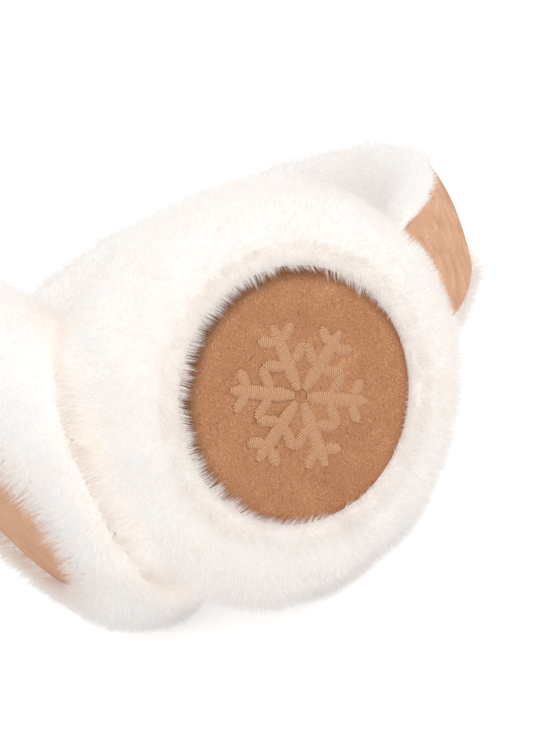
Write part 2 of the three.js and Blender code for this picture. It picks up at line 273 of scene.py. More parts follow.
@dataclass(frozen=True)
class SuedeFinish:
    """Brushed suede, whose nap catches the light in short strokes and lies over in soft patches."""

    name: str
    # deep is the colour of the painted shade that the shade attribute mixes in beside the fur.
    deep: str
    dark: str
    middle: str
    light: str
    nap_size: float = 0.32 * MM
    nap_stretch: tuple[float, float, float] = (1.0, 0.36, 1.0)
    patch_size: float = 11 * MM
    patch_share: float = 0.22
    nap_height: float = 0.22 * MM

    def build(self) -> bpy.types.Material:
        """Makes the material; nap is the place in the hide, shade a painted shade beside the fur that mixes in the
        deep colour.
        """
        shader = Shader(self.name)
        place = shader.node("ShaderNodeAttribute", {"attribute_name": "nap"}, {}, "Vector")
        flowing = shader.warped(shader.warped(place, 9 * MM, 7 * MM), 2.2 * MM, 1.2 * MM)
        brushed = shader.node("ShaderNodeVectorMath", {"operation": "MULTIPLY"}, {0: flowing, 1: self.nap_stretch})
        nap = shader.cloud(brushed, self.nap_size, 2.0)
        grain = shader.cloud(place, 0.3 * MM, 1.0)
        patches = shader.cloud(shader.warped(place, 9 * MM, 8 * MM), self.patch_size, 3.0)
        stroke = nap * (0.76 - self.patch_share) + grain * 0.24 + patches * self.patch_share
        colour = shader.ramp(
            stroke, [(0.36, self.dark), (0.475, self.middle), (0.525, self.middle), (0.64, self.light)]
        )
        shaded = shader.mix(shader.attribute("shade"), colour, linear(self.deep))
        return shader.finish(
            {
                "Base Color": shaded,
                "Roughness": 0.92,
                "Specular IOR Level": 0.15,
                "Sheen Weight": 0.35,
                "Sheen Roughness": 0.45,
                "Sheen Tint": linear(self.light),
                "Normal": shader.bump(nap * 0.7 + grain * 0.5, self.nap_height, 0.6),
            }
        )


@dataclass(frozen=True)
class ThreadFinish:
    """Embroidery thread with a soft shine, a little lighter than the suede under it."""

    name: str
    colour: str
    shadow: str

    def build(self) -> bpy.types.Material:
        """Makes the material."""
        shader = Shader(self.name)
        twist = shader.cloud(shader.place(), 0.35 * MM)
        return shader.finish(
            {
                "Base Color": shader.mix(twist, linear(self.shadow), linear(self.colour)),
                "Roughness": 0.5,
                "Sheen Weight": 0.2,
                "Normal": shader.bump(twist, 0.05 * MM, 0.4),
            }
        )


@dataclass(frozen=True)
class FloorFinish:
    """A plain pale surface with a glow that the camera sees, as on a studio sweep, and that lights nothing."""

    name: str
    colour: str = "#ebebeb"
    glow: float = 0.45

    def build(self) -> bpy.types.Material:
        """Makes the material."""
        shader = Shader(self.name)
        seen = shader.node("ShaderNodeLightPath", {}, {}, "Is Camera Ray")
        return shader.finish(
            {
                "Base Color": linear(self.colour),
                "Roughness": 0.9,
                "Emission Color": shader.mix(seen, linear("#000000"), linear("#ffffff")),
                "Emission Strength": self.glow,
            }
        )


# Meshes


def piece_of(mesh: bpy.types.Mesh, material: bpy.types.Material) -> bpy.types.Object:
    """Puts a mesh in the scene under its own name, with one material."""
    mesh.materials.clear()
    mesh.materials.append(material)
    piece = bpy.data.objects.new(mesh.name, mesh)
    bpy.context.scene.collection.objects.link(piece)
    return piece


def mesh_of(body: bmesh.types.BMesh, name: str) -> bpy.types.Mesh:
    """Turns a bmesh into a smooth mesh and frees it."""
    mesh = bpy.data.meshes.new(name)
    for face in body.faces:
        face.smooth = True
    body.to_mesh(mesh)
    body.free()
    return mesh


def merged_copy(*nodes: str) -> bmesh.types.BMesh:
    """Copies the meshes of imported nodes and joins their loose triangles."""
    body = bmesh.new()
    for node in nodes:
        body.from_mesh(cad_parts[node].data)
    bmesh.ops.remove_doubles(body, verts=body.verts, dist=0.002 * MM)
    return body


def finished(mesh: bpy.types.Mesh, kind: str, **settings: Any) -> bpy.types.Mesh:
    """Runs a modifier over a mesh.

    Args:
        mesh: The mesh, which goes away.
        kind: The modifier's type.
        **settings: Its settings.

    Returns:
        The mesh that comes out.
    """
    holder = bpy.data.objects.new("holder", mesh)
    bpy.context.scene.collection.objects.link(holder)
    modifier = holder.modifiers.new(kind.lower(), kind)
    for name, setting in settings.items():
        setattr(modifier, name, setting)
    evaluated = holder.evaluated_get(bpy.context.evaluated_depsgraph_get())
    result = bpy.data.meshes.new_from_object(evaluated)
    result.name = mesh.name + "_done"
    bpy.data.objects.remove(holder)
    bpy.data.meshes.remove(mesh)
    return result


def give(mesh: bpy.types.Mesh, name: str, numbers: np.ndarray) -> None:
    """Stores a number for each vertex of a mesh."""
    mesh.attributes.new(name, "FLOAT", "POINT").data.foreach_set("value", numbers.astype(np.float32))


def give_places(mesh: bpy.types.Mesh, name: str, rows: np.ndarray) -> None:
    """Stores a place for each vertex of a mesh."""
    flat = rows.astype(np.float32).ravel()
    mesh.attributes.new(name, "FLOAT_VECTOR", "POINT").data.foreach_set("vector", flat)


def joined(name: str, places: np.ndarray, faces: list[tuple[int, ...]], smooth: bool) -> bpy.types.Mesh:
    """Joins many small shapes with the same faces into one mesh.

    Args:
        name: The mesh's name.
        places: For each shape, a row for each of its vertices.
        faces: The triangles of one shape, as the numbers of its vertices.
        smooth: Whether it is shaded smooth.

    Returns:
        The mesh.
    """
    count, size = places.shape[:2]
    ends = (np.arange(count)[:, None, None] * size + np.array(faces)).reshape(-1, 3)
    mesh = bpy.data.meshes.new(name)
    mesh.vertices.add(count * size)
    mesh.vertices.foreach_set("co", places.astype(np.float32).ravel())
    mesh.loops.add(len(ends) * 3)
    mesh.loops.foreach_set("vertex_index", ends.astype(np.int32).ravel())
    mesh.polygons.add(len(ends))
    mesh.polygons.foreach_set("loop_start", np.arange(0, len(ends) * 3, 3, dtype=np.int32))
    mesh.polygons.foreach_set("use_smooth", np.full(len(ends), smooth))
    mesh.update(calc_edges=True)
    return mesh


def places_of(mesh: bpy.types.Mesh) -> np.ndarray:
    """The vertices of a mesh, a row each."""
    flat = np.empty(len(mesh.vertices) * 3, np.float32)
    mesh.vertices.foreach_get("co", flat)
    return flat.reshape(-1, 3).astype(float)


def tree_of(mesh: bpy.types.Mesh) -> BVHTree:
    """A search tree over a mesh's faces."""
    return BVHTree.FromPolygons([v.co for v in mesh.vertices], [tuple(p.vertices) for p in mesh.polygons])


def closeness(place: np.ndarray, trees: list[BVHTree], reach: float) -> float:
    """How near a place is to any of the trees, from 0 at the given reach to 1."""
    gaps = [tree.find_nearest(place, reach)[3] for tree in trees]
    return max((1 - gap / reach for gap in gaps if gap is not None), default=0.0)


def bury(piece: bpy.types.Object, trees: list[BVHTree], reach: float) -> None:
    """Stores how near each vertex of a piece is to other fur."""
    give(piece.data, "buried", np.array([closeness(place, trees, reach) for place in places_of(piece.data)]))


def unit(rows: np.ndarray) -> np.ndarray:
    """Rows scaled to length 1."""
    return rows / np.maximum(np.linalg.norm(rows, axis=-1, keepdims=True), 1e-12)


def eased(low: float, high: float, rows: Any) -> Any:
    """A smooth step from 0 at low to 1 at high."""
    share = np.clip((rows - low) / (high - low), 0, 1)
    return share * share * (3 - 2 * share)


# Where the cups are


@dataclass
class CupPlace:
    """A cup's own frame, read off its packed disc."""

    side: str
    centre: Vector = field(init=False)
    out: Vector = field(init=False)
    up: Vector = field(init=False)
    across: Vector = field(init=False)
    radius: float = field(init=False)

    def __post_init__(self) -> None:
        """Finds the disc's axis, its radius and the level of its crown."""
        body = merged_copy(f"{self.side}_suede_disc")
        rows = np.array([v.co for v in body.verts], float)
        body.free()
        low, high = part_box(f"{self.side}_cup_fur")
        middle = rows.mean(0)
        axis = np.linalg.svd(rows - middle)[2][2]
        if axis @ (middle - np.array((low + high) / 2)) < 0:
            axis = -axis
        heights = (rows - middle) @ axis
        self.out = Vector(axis)
        self.up = (Vector((0, 0, 1)) - self.out * self.out.z).normalized()
        self.across = self.up.cross(self.out)
        self.centre = Vector(middle) + self.out * float(heights.max())
        self.radius = float(np.linalg.norm((rows - middle) - np.outer(heights, axis), axis=1).max())

    def matrix(self) -> Matrix:
        """Takes a place on the disc (across, up, out) to the row frame."""
        turn = Matrix((self.across, self.up, self.out)).transposed().to_4x4()
        return Matrix.Translation(self.centre) @ turn

    def measure(self, rows: np.ndarray) -> tuple[np.ndarray, np.ndarray, np.ndarray]:
        """Where places lie about the disc's axis.

        Args:
            rows: The places, a row each.

        Returns:
            Their distances from the axis, heights above the crown and turns from up towards across.
        """
        apart = rows - np.array(self.centre)
        across, up, out = (apart @ np.array(way) for way in (self.across, self.up, self.out))
        return np.hypot(across, up), out, np.degrees(np.arctan2(across, up))


# Fur


@dataclass
class Skin:
    """The hide and dense underwool that the pile grows from."""

    mesh: bpy.types.Mesh

    def __post_init__(self) -> None:
        """Reads the triangles, their areas and the smooth normals at their corners."""
        self.mesh.calc_loop_triangles()
        places = places_of(self.mesh)
        flat = np.empty(len(self.mesh.loop_triangles) * 3, np.int32)
        self.mesh.loop_triangles.foreach_get("vertices", flat)
        ends = flat.reshape(-1, 3)
        normals = np.empty(len(places) * 3, np.float32)
        self.mesh.vertex_normals.foreach_get("vector", normals)
        self.corners = places[ends]
        self.normals = normals.reshape(-1, 3).astype(float)[ends]
        sides = self.corners[:, 1:] - self.corners[:, :1]
        self.areas = np.linalg.norm(np.cross(sides[:, 0], sides[:, 1]), axis=1) / 2
        self.centres = self.corners.mean(1)

    def scatter(self, count: int, wanted: np.ndarray, dice: np.random.Generator) -> tuple[np.ndarray, np.ndarray]:
        """Picks places at random.

        Args:
            count: How many.
            wanted: How thickly each triangle is covered, against the others.
            dice: The source of chance.

        Returns:
            The places and the normals there.
        """
        chances = self.areas * wanted
        picked = dice.choice(len(chances), count, p=chances / chances.sum())
        first, second = np.sqrt(dice.random(count)), dice.random(count)
        shares = np.stack([1 - first, first * (1 - second), first * second], 1)[:, :, None]
        return (self.corners[picked] * shares).sum(1), unit((self.normals[picked] * shares).sum(1))


@dataclass(frozen=True)
class Pile:
    """How the pile grows: sizes of its fibres and of the tufts that they gather in."""

    length: float = 3.4 * MM
    width: float = 0.15 * MM
    unevenness: float = 0.12
    lean: float = 0.3
    lean_patch: float = 16 * MM
    tuft_spacing: float = 2.6 * MM
    tuft_lean: float = 0.07
    tuft_unevenness: float = 0.07
    gathering: float = 0.08
    jitter: float = 0.07
    stray_share: float = 0.012
    stray_length: float = 1.35


@dataclass
class Strands:
    """Fibres as paths from root to tip."""

    roots: np.ndarray
    bends: np.ndarray
    tips: np.ndarray
    widths: np.ndarray
    tones: np.ndarray
    buried: np.ndarray

    def kept(self, which: np.ndarray) -> "Strands":
        """Those fibres that are picked."""
        held = (self.roots, self.bends, self.tips, self.widths, self.tones, self.buried)
        return Strands(*(rows[which] for rows in held))

    def mesh(self, name: str, bent: bool, dice: np.random.Generator) -> bpy.types.Mesh:
        """Draws every fibre as a closed three-sided spike.

        Args:
            name: The mesh's name.
            bent: Whether the spikes have a joint in the middle.
            dice: The source of chance.

        Returns:
            The mesh, with its numbers along, tone and buried.
        """
        count = len(self.roots)
        ahead = unit(self.tips - self.roots)
        beside = unit(np.cross(ahead, unit(dice.normal(size=(count, 3)))))
        other = np.cross(ahead, beside)
        rings = [(self.roots, 1.0), (self.bends, 0.8)] if bent else [(self.roots, 1.0)]
        turns = np.radians([0, 120, 240])
        levels = [
            middle[:, None]
            + self.widths[:, None, None] * size / 2 * (
                beside[:, None] * np.cos(turns)[:, None] + other[:, None] * np.sin(turns)[:, None]
            )
            for middle, size in rings
        ]
        places = np.concatenate([*levels, self.tips[:, None]], 1)
        faces = [(0, 2, 1)]
        for level in range(len(rings) - 1):
            for corner in range(3):
                low, next_low = 3 * level + corner, 3 * level + (corner + 1) % 3
                faces += [(low, next_low, next_low + 3), (low, next_low + 3, low + 3)]
        top = 3 * len(rings)
        faces += [(top - 3 + corner, top - 3 + (corner + 1) % 3, top) for corner in range(3)]
        mesh = joined(name, places, faces, False)
        rising = [0.0] * 3 + ([0.55] * 3 if bent else []) + [1.0]
        give(mesh, "along", np.tile(rising, count))
        give(mesh, "tone", np.repeat(self.tones, top + 1))
        give(mesh, "buried", np.repeat(self.buried, top + 1))
        return mesh


@dataclass
class Grower:
    """Grows a pile on a skin and keeps it clear of what lies beside it."""

    pile: Pile
    seed: int
    hard: list[BVHTree] = field(default_factory=list)
    soft: list[BVHTree] = field(default_factory=list)
    trim: BVHTree | None = None
    floor: float = 0.25 * MM
    least: float = 0.9 * MM
    mingle_reach: float = 10 * MM
    mingle_pull: float = 0.85
    mingle_growth: float = 0.8
    trim_reach: float = 4 * MM
    trim_share: float = 0.5
    spill: float = 0.9
    spill_lean: float = 0.8

    def __post_init__(self) -> None:
        """Starts the dice."""
        self.dice = np.random.default_rng(self.seed)

    def tufts(self, skin: Skin) -> tuple[kdtree.KDTree, np.ndarray, np.ndarray, np.ndarray, np.ndarray]:
        """Scatters the tufts and sets where each of them leans.

        Args:
            skin: What they grow on.

        Returns:
            A search tree over them, their feet, leans, lengths and tones.
        """
        count = int(skin.areas.sum() / self.pile.tuft_spacing**2)
        feet, normals = skin.scatter(count, np.ones(len(skin.areas)), self.dice)
        drift = np.array([noise.noise_vector(Vector(foot) / self.pile.lean_patch) for foot in feet])
        lean = drift * self.pile.lean * 2 + self.dice.normal(size=(count, 3)) * self.pile.tuft_lean / 2
        lean -= normals * (lean * normals).sum(1, keepdims=True)
        lengths = self.pile.length * (1 + self.pile.tuft_unevenness * self.dice.uniform(-1, 1, count))
        tones = np.array([noise.noise(Vector(foot) / (22 * MM) + Vector((7, 3, 1))) for foot in feet])
        tones = np.clip(0.3 + tones * 1.1 + self.dice.normal(size=count) * 0.12, 0, 1)
        tree = kdtree.KDTree(count)
        for number, foot in enumerate(feet):
            tree.insert(foot, number)
        tree.balance()
        return tree, feet, np.concatenate([lean, normals], 1), lengths, tones

    def grow(self, skin: Skin, count: int, wanted: np.ndarray, cup: CupPlace | None, fringe: "Fringe | None") -> Strands:
        """Grows the fibres of one piece.

        Args:
            skin: What they grow on.
            count: How many are tried.
            wanted: How thickly each triangle of the skin is covered.
            cup: The cup whose disc they stand around, if any.
            fringe: How they hang over that disc, if they do.

        Returns:
            The fibres that have room.
        """
        tree, feet, leans, lengths, tones = self.tufts(skin)
        roots, normals = skin.scatter(count, wanted, self.dice)
        nearest = np.array([tree.find(root)[1] for root in roots])
        lean = leans[nearest, :3] - normals * (leans[nearest, :3] * normals).sum(1, keepdims=True)
        ahead = normals + lean + self.dice.normal(size=(count, 3)) * self.pile.jitter
        uneven = 1 + self.pile.unevenness * self.dice.uniform(-1, 1, count)
        stray = self.dice.random(count) < self.pile.stray_share
        length = lengths[nearest] * uneven * np.where(stray, self.pile.stray_length, 1)
        gathering = np.full(count, self.pile.gathering)
        if cup and fringe:
            ahead, length, gathering = fringe.comb(cup, roots, ahead, normals, length, gathering, self.dice)
        ahead, length, buried = self.mingled(roots, ahead, length)
        ahead = unit(ahead)
        tips = roots + ahead * length[:, None]
        tuft_tips = feet[nearest] + unit(leans[nearest, 3:] + leans[nearest, :3]) * lengths[nearest][:, None]
        pull = (gathering * np.where(stray, 0.2, 1))[:, None]
        aside = tuft_tips - tips
        aside -= ahead * (aside * ahead).sum(1, keepdims=True)
        tips += aside * pull
        tips[:, 2] = np.maximum(tips[:, 2], self.floor)
        bends = roots + (normals * 0.45 + ahead * 0.55) * length[:, None] * 0.5 + aside * pull * 0.3
        bends[:, 2] = np.maximum(bends[:, 2], self.floor)
        widths = self.pile.width * self.dice.uniform(0.8, 1.2, count) * np.where(stray, 0.7, 1)
        return self.fitted(Strands(roots, bends, tips, widths, tones[nearest], buried))

    def mingled(
        self, roots: np.ndarray, ahead: np.ndarray, length: np.ndarray
    ) -> tuple[np.ndarray, np.ndarray, np.ndarray]:
        """Draws fibres towards other fur, trims them beside a suede strip and lets them spill out below it.

        Args:
            roots: Where they grow.
            ahead: Where they point.
            length: Their lengths.

        Returns:
            The new directions and lengths, and how near each fibre is to the other fur.
        """
        ahead, length, buried = ahead.copy(), length.copy(), np.zeros(len(roots))
        for number, root in enumerate(roots):
            for tree in self.soft:
                place, _, _, gap = tree.find_nearest(root, self.mingle_reach)
                if place is not None:
                    share = 1 - gap / self.mingle_reach
                    ahead[number] += (np.array(place) - root) / max(gap, 1e-6) * share * self.mingle_pull
                    length[number] *= 1 + share * self.mingle_growth
                    buried[number] = max(buried[number], share)
            if self.trim:
                place, _, _, gap = self.trim.find_nearest(root, self.trim_reach)
                if place is None:
                    continue
                share = 1 - gap / self.trim_reach
                if root[2] < place.z - self.least / 2:
                    ahead[number] += unit(root * (1, 1, 0)) * share * self.spill_lean
                    length[number] *= 1 + share * self.spill
                else:
                    length[number] *= 1 - share * self.trim_share
        return ahead, length, buried

    def fitted(self, strands: Strands) -> Strands:
        """Drops fibres that run into something hard and ends others where they meet other fur."""
        ways = strands.tips - strands.roots
        lengths = np.linalg.norm(ways, axis=1)
        shares = np.where((lengths > self.least) & (strands.roots[:, 2] > 0), 1.0, 0.0)
        for number in np.flatnonzero(shares):
            root, way, length = Vector(strands.roots[number]), Vector(ways[number]), lengths[number]
            if any(tree.ray_cast(root, way, length)[0] for tree in self.hard):
                shares[number] = 0
                continue
            for tree in self.soft:
                met = tree.ray_cast(root, way, length)
                if met[0]:
                    shares[number] = min(shares[number], met[3] / length)
        shares[shares * lengths < self.least] = 0
        strands.tips = strands.roots + ways * shares[:, None]
        strands.bends = strands.roots + (strands.bends - strands.roots) * shares[:, None]
        return strands.kept(shares > 0)


@dataclass(frozen=True)
class Fringe:
    """How the pile beside a disc hangs over its edge, more on its upper side than on its lower one."""

    middle_turn: float
    near: float = 0.3 * MM
    far: float = 5.5 * MM
    overhang: float = 1.0
    least: float = 0.12
    spread: float = 105.0
    lift: float = 0.45
    fullness: float = 1.0
    tuft_gathering: float = 0.1
    growth: float = 0.3
    jag: float = 0.36
    jag_size: float = 3.2 * MM

    def comb(
        self,
        cup: CupPlace,
        roots: np.ndarray,
        ahead: np.ndarray,
        normals: np.ndarray,
        length: np.ndarray,
        gathering: np.ndarray,
        dice: np.random.Generator,
    ) -> tuple[np.ndarray, np.ndarray, np.ndarray]:
        """Turns the fibres near the disc over its edge.

        Args:
            cup: The cup.
            roots: Where they grow.
            ahead: Where they point.
            normals: The skin's normals there; not used.
            length: Their lengths.
            gathering: How much their tufts draw them in.
            dice: The source of chance.

        Returns:
            The new directions, lengths and gathering.
        """
        reach, height, turn = cup.measure(roots)
        beside = 1 - eased(cup.radius + self.near, cup.radius + self.far, reach)
        beside *= eased(-9 * MM, -4 * MM, height)
        off = np.abs((turn - self.middle_turn + 180) % 360 - 180)
        hang = self.least + (self.overhang - self.least) * (1 - eased(self.spread * 0.55, self.spread, off))
        apart = roots - np.array(cup.centre)
        out = np.array(cup.out)
        inward = -unit(apart - np.outer(apart @ out, out))
        turned = ahead + inward * (beside * hang)[:, None] + out * (beside * self.lift)[:, None]
        jags = np.array([noise.noise(Vector(root) / self.jag_size) for root in roots])
        length = length * (1 + beside * (self.fullness - 1 + self.jag * jags + self.growth * dice.uniform(-1, 1, len(length))))
        return turned, length, gathering + beside * (self.tuft_gathering - gathering)


@dataclass
class FurBody:
    """The underwool of packed fur nodes: their shape without locks, a little inside it."""

    nodes: tuple[str, ...]
    name: str
    voxel: float = 1.3 * MM
    passes: int = 20
    sink: float = 0.7 * MM
    thin_share: float = 0.3
    lump: float = 1.2 * MM
    lump_size: float = 13 * MM

    def mesh(self, cup: CupPlace | None) -> bpy.types.Mesh:
        """Makes the underwool.

        Args:
            cup: The cup that it belongs to, whose seat keeps its level, if any.

        Returns:
            Its mesh.
        """
        mesh = finished(
            mesh_of(merged_copy(*self.nodes), self.name), "REMESH", mode="VOXEL", voxel_size=self.voxel
        )
        body = bmesh.new()
        body.from_mesh(mesh)
        bpy.data.meshes.remove(mesh)
        for _ in range(self.passes):
            bmesh.ops.smooth_vert(
                body, verts=body.verts, factor=0.5, use_axis_x=True, use_axis_y=True, use_axis_z=True
            )
        body.normal_update()
        tree = BVHTree.FromBMesh(body)
        rows = np.array([v.co for v in body.verts], float)
        depth = np.full(len(rows), self.sink)
        if cup:
            reach, height, _ = cup.measure(rows)
            seat = (height > -8 * MM) & (reach < cup.radius + 8 * MM)
            depth[seat] *= eased(cup.radius + 0.5 * MM, cup.radius + 6 * MM, reach[seat])
        moved = []
        for vert, deep in zip(body.verts, depth):
            inside = tree.ray_cast(vert.co - vert.normal * 0.05 * MM, -vert.normal)
            thick = inside[3] if inside[0] else 1.0
            lumps = noise.noise(vert.co / self.lump_size) + 0.35 * noise.noise(vert.co / (self.lump_size / 2.6))
            rise = self.lump * lumps * min(1.0, deep / self.sink)
            moved.append(vert.co + vert.normal * (rise - min(deep, thick * self.thin_share)))
        for vert, place in zip(body.verts, moved):
            vert.co = place
            vert.co.z = max(vert.co.z, 0.0)
        body.normal_update()
        return mesh_of(body, self.name)


@dataclass
class ShearlingCup:
    """One ear cup's fur, as underwool and pile."""

    place: CupPlace
    seed: int
    face_count: int
    back_count: int
    fringe: Fringe
    pile: Pile = field(default_factory=Pile)
    crowding: float = 2.4
    crowd_reach: float = 10 * MM

    def underwool(self, finish: bpy.types.Material) -> bpy.types.Object:
        """Makes the underwool piece."""
        node = f"{self.place.side}_cup_fur"
        mesh = FurBody((node,), f"{self.place.side}_cup_underwool").mesh(self.place)
        give(mesh, "along", np.full(len(mesh.vertices), 0.35))
        give(mesh, "tone", np.full(len(mesh.vertices), 0.5))
        piece = piece_of(mesh, finish)
        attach(piece, BODY)
        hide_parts(node)
        return piece

    def pile_pieces(
        self, skin_piece: bpy.types.Object, finish: bpy.types.Material, hard: list[BVHTree], soft: list[BVHTree]
    ) -> list[bpy.types.Object]:
        """Grows the pile in a front and a back piece.

        Args:
            skin_piece: The underwool.
            finish: The shearling.
            hard: What the fibres stay out of.
            soft: What their tips may reach into.

        Returns:
            The pieces.
        """
        skin = Skin(skin_piece.data)
        bury(skin_piece, soft, self.crowd_reach)
        crowd = 1 + self.crowding * np.array([closeness(centre, soft, self.crowd_reach) for centre in skin.centres])
        reach, height, _ = self.place.measure(skin.centres)
        middle = -19.2 * MM
        seat = (reach < self.place.radius - 0.4 * MM) & (height > middle)
        ear = (reach < 30 * MM) & (height < middle)
        front = np.where(height > middle, 1.0, 0.0) * np.where(reach < self.place.radius + 6 * MM, 2.6, 1.0)
        back = np.where(height <= middle, 1.0, 0.0)
        front *= crowd
        front[seat] = 0
        back[ear] = 0.6
        pieces = []
        for number, (part, wanted, count) in enumerate(
            (("front", front, self.face_count), ("back", back, self.back_count))
        ):
            grower = Grower(self.pile, self.seed + number, hard, soft)
            strands = grower.grow(skin, scaled(count), wanted, self.place, self.fringe)
            mesh = strands.mesh(f"{self.place.side}_cup_pile_{part}", False, grower.dice)
            pieces.append(dressed(piece_of(mesh, finish), Slot.SHEARLING, f"{self.place.side}_cup_fur"))
        return pieces


def scaled(count: int) -> int:
    return count


def dressed(piece: bpy.types.Object, slot: Slot, *nodes: str) -> bpy.types.Object:
    """Makes a piece ride on the body and hides the nodes that it stands for."""
    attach(piece, BODY)
    if nodes:
        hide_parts(*nodes)
    LOG.info("%s: %d faces", piece.name, len(piece.data.polygons))
    return piece


# Suede


@dataclass
class SuedeDisc:
    """The suede disc on a cup's face: slightly crowned, with a rolled edge."""

    place: CupPlace
    shade_turn: float
    crown: float = 2.0 * MM
    wall: float = 2.0 * MM
    roll: float = 0.9 * MM
    rings: int = 26
    sides: int = 120
    # The shade fields set a painted shade on the suede: darker towards the edge, most on the side at shade_turn,
    # where the fringe's shadow falls.
    shade_from: float = 4.4 * MM
    shade_to: float = 2.0 * MM
    shade_edge: float = 0.08
    shade_upper: float = 0.76

    def face(self, reach: Any) -> Any:
        """The face's height against the crown, at distances from the axis."""
        return -self.crown * (reach / self.place.radius) ** 2

    def mesh(self) -> bpy.types.Mesh:
        """Spins the disc's section round its axis."""
        edge = self.place.radius
        body = bmesh.new()
        flat = edge - self.roll
        section = [(flat * n / self.rings, self.face(flat * n / self.rings)) for n in range(self.rings + 1)]
        for turn in (30, 60, 90, 120, 150):
            level = self.face(flat) - self.roll
            swing = math.radians(turn)
            section.append((flat + self.roll * math.sin(swing), level + self.roll * math.cos(swing)))
        back = self.face(flat) - 2 * self.roll
        section += [(flat, back), (flat * 0.6, back + self.crown * 0.5), (0.0, back + self.crown * 0.7)]
        verts = [body.verts.new((reach, 0, height)) for reach, height in section]
        edges = [body.edges.new(pair) for pair in zip(verts, verts[1:])]
        bmesh.ops.spin(
            body, geom=verts + edges, axis=(0, 0, 1), cent=(0, 0, 0), angle=math.tau,
            steps=self.sides, use_merge=True,
        )
        bmesh.ops.remove_doubles(body, verts=body.verts, dist=0.01 * MM)
        bmesh.ops.recalc_face_normals(body, faces=body.faces)
        for vert in body.verts:
            dent = noise.noise(vert.co / (17 * MM) + Vector((4, 1, 2))) * 0.35 * MM
            vert.co.z += dent * (1 - (vert.co.xy.length / edge) ** 2)
        bmesh.ops.transform(body, matrix=self.place.matrix(), verts=body.verts)
        return mesh_of(body, f"{self.place.side}_disc")

    def piece(self, finish: bpy.types.Material) -> bpy.types.Object:
        """Makes the disc, with a painted shade on the suede beside the fur, strongest where the fringe's shadow
        falls.
        """
        mesh = self.mesh()
        places = places_of(mesh)
        give_places(mesh, "nap", (places - np.array(self.place.centre)) @ np.array(self.place.matrix())[:3, :3])
        reach, _, turn = self.place.measure(places)
        # Painted shade: darker towards the disc's edge, most on the side at shade_turn, where the fringe's shadow
        # falls.
        upper = 0.5 + 0.5 * np.cos(np.radians(turn - self.shade_turn))
        start, end = self.shade_from * (0.5 + upper), self.shade_to * upper
        edge = eased(self.place.radius - start, self.place.radius - end, reach)
        give(mesh, "shade", edge * (self.shade_edge + self.shade_upper * upper))
        return dressed(piece_of(mesh, finish), Slot.DISC_SUEDE, f"{self.place.side}_suede_disc")


@dataclass
class SnowflakeStitching:
    """A six-armed snowflake in satin stitch on a disc."""

    disc: SuedeDisc
    arm: float = 20 * MM
    arm_width: float = 3.9 * MM
    branch_width: float = 3.1 * MM
    branches: tuple[tuple[float, float], ...] = ((0.4, 7.6 * MM), (0.74, 6.2 * MM))
    branch_angle: float = 58.0
    pitch: float = 0.56 * MM
    thread: float = 0.66 * MM
    flatness: float = 0.78
    arch: float = 0.55 * MM
    set_in: float = 0.12 * MM
    lean: float = 12.0
    spans: int = 5

    def strokes(self) -> list[tuple[Vector, Vector, float]]:
        """The strokes of the pattern.

        Returns:
            The start, the end and the width of each, flat on the disc.
        """
        found = []
        for number in range(6):
            turn = math.radians(60 * number + self.lean)
            way = Vector((math.sin(turn), math.cos(turn)))
            found.append((way * 2.2 * MM, way * self.arm, self.arm_width))
            for share, length in self.branches:
                foot = way * self.arm * share
                for side in (-1, 1):
                    branch = way.copy()
                    branch.rotate(Matrix.Rotation(side * math.radians(self.branch_angle), 2))
                    found.append((foot + branch * self.arm_width * 0.4, foot + branch * length, self.branch_width))
        return found

    def stitch(self) -> tuple[np.ndarray, list[tuple[int, ...]]]:
        """Draws one stitch: a thread that arches over from -1 to 1 along X.

        Returns:
            Its vertices, with Y and Z in metres, and its triangles.
        """
        body = bmesh.new()
        ring = bmesh.ops.create_circle(body, cap_ends=True, segments=6, radius=self.thread / 2)["verts"]
        bmesh.ops.scale(body, verts=ring, vec=(self.flatness, 1, 1))
        bmesh.ops.rotate(body, verts=ring, matrix=Matrix.Rotation(math.pi / 2, 3, "Y"))
        bmesh.ops.translate(body, verts=ring, vec=(-1, 0, 0))
        for _ in range(self.spans):
            face = max(body.faces, key=lambda f: f.calc_center_median().x)
            made = bmesh.ops.extrude_discrete_faces(body, faces=[face])["faces"]
            bmesh.ops.translate(body, verts=made[0].verts, vec=(2 / self.spans, 0, 0))
            body.faces.ensure_lookup_table()
        bmesh.ops.remove_doubles(body, verts=body.verts, dist=1e-7)
        bmesh.ops.recalc_face_normals(body, faces=body.faces)
        bmesh.ops.triangulate(body, faces=body.faces)
        rows = np.array([v.co for v in body.verts])
        faces = [tuple(v.index for v in face.verts) for face in body.faces]
        body.free()
        rows[:, 2] += self.arch * np.cos(rows[:, 0] * math.pi / 2).clip(0) ** 0.6 - self.set_in
        return rows, faces

    def piece(self, finish: bpy.types.Material) -> bpy.types.Object:
        """Sews all strokes."""
        shape, faces = self.stitch()
        dice = np.random.default_rng(11)
        stitches = []
        for start, end, width in self.strokes():
            way = (end - start).normalized()
            slant = (Vector((-way.y, way.x)) + way * 0.12).normalized()
            count = int((end - start).length / self.pitch)
            for share in np.linspace(0, 1, count + 1):
                taper = min(1.0, 0.55 + 2.2 * share, 0.45 + 3.2 * (1 - share))
                middle = start.lerp(end, share) + way * dice.uniform(-0.04, 0.04) * MM
                half = width / 2 * taper + dice.uniform(-0.1, 0.1) * MM
                stitches.append((*middle, *slant, half))
        rows = np.array(stitches)[:, :, None]
        along, beside = shape[:, 0] * rows[:, 4], shape[:, 1]
        across = rows[:, 0] + along * rows[:, 2] - beside * rows[:, 3]
        up = rows[:, 1] + along * rows[:, 3] + beside * rows[:, 2]
        height = self.disc.face(np.hypot(across, up)) + shape[:, 2]
        mesh = joined(f"{self.disc.place.side}_disc_stitching", np.stack([across, up, height], 2), faces, True)
        mesh.transform(self.disc.place.matrix())
        return dressed(piece_of(mesh, finish), Slot.DISC_SUEDE)


